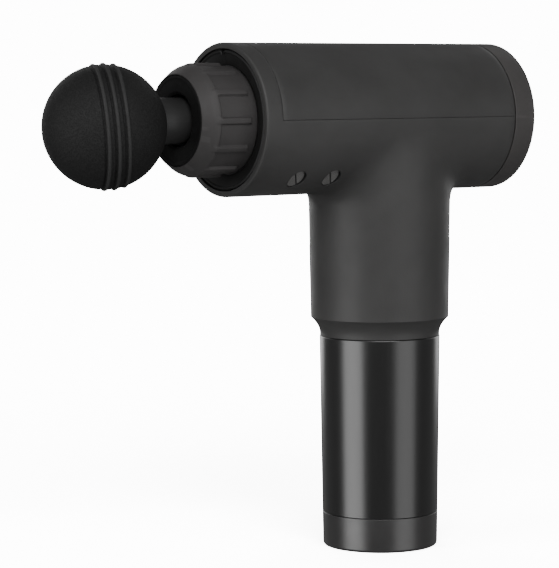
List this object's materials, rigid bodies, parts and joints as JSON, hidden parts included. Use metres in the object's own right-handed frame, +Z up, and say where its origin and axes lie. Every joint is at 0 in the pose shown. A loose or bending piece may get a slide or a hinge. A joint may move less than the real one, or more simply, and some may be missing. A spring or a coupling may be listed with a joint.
{
  "type": "massage gun",
  "caption": "Cordless percussion massager: T-shaped barrel housing on a round grip, with a slide-in battery handle and a foam ball head driven by a motor and crank.",
  "frame": {"origin": "centre of the flat foot under the battery, on the handle axis", "axes": "+Z up along the handle, barrel along X, massage head towards -X, control panel towards +X"},
  "size_m": [0.2177, 0.0614, 0.2094],
  "materials": {
    "soft_touch_shell": "matte",
    "rear_shell": "matte",
    "foot_plastic": "satin",
    "collar_plastic": "satin",
    "dark_plastic": "matte",
    "button_plastic": "satin",
    "stem_plastic": "satin",
    "gloss_black": "gloss",
    "foam": "matte",
    "rubber": "matte",
    "steel": "satin",
    "aluminium": "satin",
    "copper": "satin",
    "brass": "satin",
    "circuit_board": "satin",
    "cell_wrap": "satin"
  },
  "bodies": {
    "housing": {"main_housing": "soft_touch_shell", "top_cover": "soft_touch_shell", "front_bezel": "dark_plastic", "nose_collar": "collar_plastic", "nose_ring": "rubber", "guide_cylinder": "aluminium", "flange_screw_1": "steel", "flange_screw_2": "steel", "flange_screw_3": "steel", "rear_cap": "rear_shell", "display_lens": "gloss_black", "display_board": "circuit_board", "control_board": "circuit_board", "drive_frame": "aluminium", "vibration_ring": "rubber", "motor_base": "aluminium", "motor_stator": "steel", "motor_windings": "copper", "motor_bearing_1": "steel", "motor_bearing_2": "steel", "motor_screw_1": "steel", "motor_screw_2": "steel", "motor_screw_3": "steel", "terminal_block": "dark_plastic", "supply_contact_1": "brass", "supply_contact_2": "brass"},
    "speed_button": {"speed_button": "button_plastic"},
    "rotor": {"rotor_bell": "steel", "rotor_magnets": "dark_plastic", "motor_shaft": "steel", "crank_disc": "steel", "crank_pin": "steel"},
    "rod": {"connecting_rod": "aluminium", "big_end_bearing": "steel", "small_end_bush": "brass"},
    "piston": {"piston": "aluminium", "wrist_pin": "steel", "piston_ring_1": "dark_plastic", "piston_ring_2": "dark_plastic"},
    "massage_head": {"massage_ball": "foam", "head_stem": "stem_plastic", "stem_o_ring": "rubber"},
    "battery": {"battery_tube": "gloss_black", "battery_cap": "foot_plastic", "battery_plug": "dark_plastic", "battery_board": "circuit_board", "cell_1": "cell_wrap", "cell_2": "cell_wrap", "cell_3": "cell_wrap", "cell_4": "cell_wrap", "cell_5": "cell_wrap", "cell_6": "cell_wrap", "cell_clip": "dark_plastic", "battery_contact_1": "brass", "battery_contact_2": "brass", "cap_screw_1": "steel", "cap_screw_2": "steel", "charge_jack": "steel", "switch_frame": "dark_plastic"},
    "power_switch": {"power_switch": "gloss_black"}
  },
  "joints": [
    {"name": "motor_spin", "type": "hinge", "parent": "housing", "child": "rotor", "pos_m": [0, 0, 0.1787], "axis": [0, 0, 1], "continuous": true},
    {"name": "head_stroke", "type": "slide", "parent": "housing", "child": "piston", "axis": [-1, 0, 0], "range_m": [-0.006, 0.006]},
    {"name": "rod_swing", "type": "hinge", "parent": "piston", "child": "rod", "pos_m": [-0.03752, 0, 0.1787], "axis": [0, 0, -1], "range_deg": [0, 18.16]},
    {"name": "head_pull", "type": "slide", "parent": "piston", "child": "massage_head", "axis": [-1, 0, 0], "range_m": [0, 0.03]},
    {"name": "battery_release", "type": "slide", "parent": "housing", "child": "battery", "axis": [0, 0, -1], "range_m": [0, 0.064]},
    {"name": "switch_rock", "type": "hinge", "parent": "battery", "child": "power_switch", "pos_m": [-0.011, 0, 0.0042], "axis": [0, 1, 0], "range_deg": [0, 16]},
    {"name": "speed_press", "type": "slide", "parent": "housing", "child": "speed_button", "axis": [-1, 0, 0], "range_m": [0, 0.0012], "stiffness_N_per_m": 600}
  ]
}
